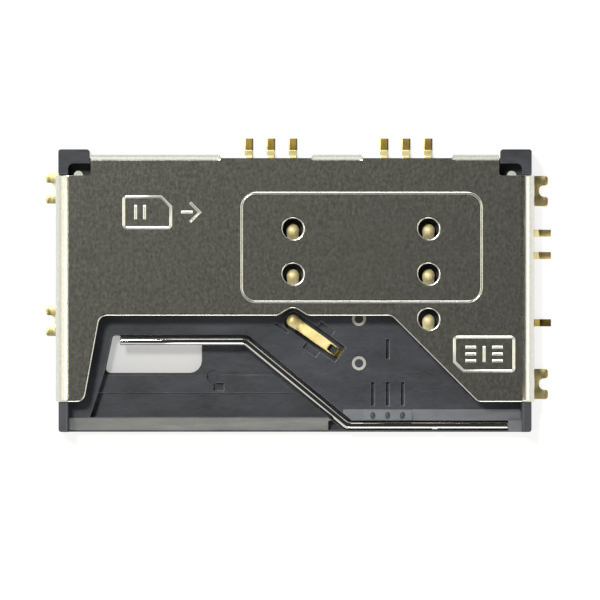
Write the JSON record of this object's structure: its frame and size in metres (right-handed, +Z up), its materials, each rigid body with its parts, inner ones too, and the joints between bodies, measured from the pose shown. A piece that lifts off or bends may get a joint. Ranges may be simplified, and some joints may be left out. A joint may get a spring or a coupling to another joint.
{
  "type": "sim card socket",
  "caption": "Low board-mounted card socket: folded sheet cover over a moulded housing, spring contacts, solder terminals and a sprung wire over a floor window.",
  "frame": {"origin": "the underside of the housing that lies on the circuit board, at the middle of the housing's width and 7.9 mm behind its front edge", "axes": "+X to the right across the card, +Y from the card's mouth towards the rear terminals, +Z up off the board"},
  "size_m": [0.0284, 0.0165, 0.0019],
  "materials": {
    "housing_plastic": "moulded liquid crystal polymer, navy black",
    "cover_sheet": "rolled nickel silver sheet, fine lengthwise grain",
    "spring_wire": "bright drawn spring steel wire",
    "gold_plate": "gold plated copper alloy strip"
  },
  "bodies": {
    "socket": {"housing": "housing_plastic", "cover_shell": "cover_sheet", "contact_c1": "gold_plate", "contact_c2": "gold_plate", "contact_c3": "gold_plate", "contact_c5": "gold_plate", "contact_c6": "gold_plate", "contact_c7": "gold_plate", "switch_leaf": "gold_plate", "switch_contact_front": "gold_plate", "switch_contact_rear": "gold_plate", "solder_tab_left_rear": "gold_plate", "solder_tab_left_front": "gold_plate", "solder_tab_right_rear": "gold_plate", "solder_tab_right_front": "gold_plate"},
    "wire": {"retaining_wire": "spring_wire"}
  },
  "joints": [
    {"name": "wire_press", "type": "hinge", "parent": "socket", "child": "wire", "pos_m": [0, -0.00753, 0.0005], "axis": [1, 0, 0], "range_deg": [-6, 0], "stiffness_Nm_per_rad": 0.0115}
  ]
}
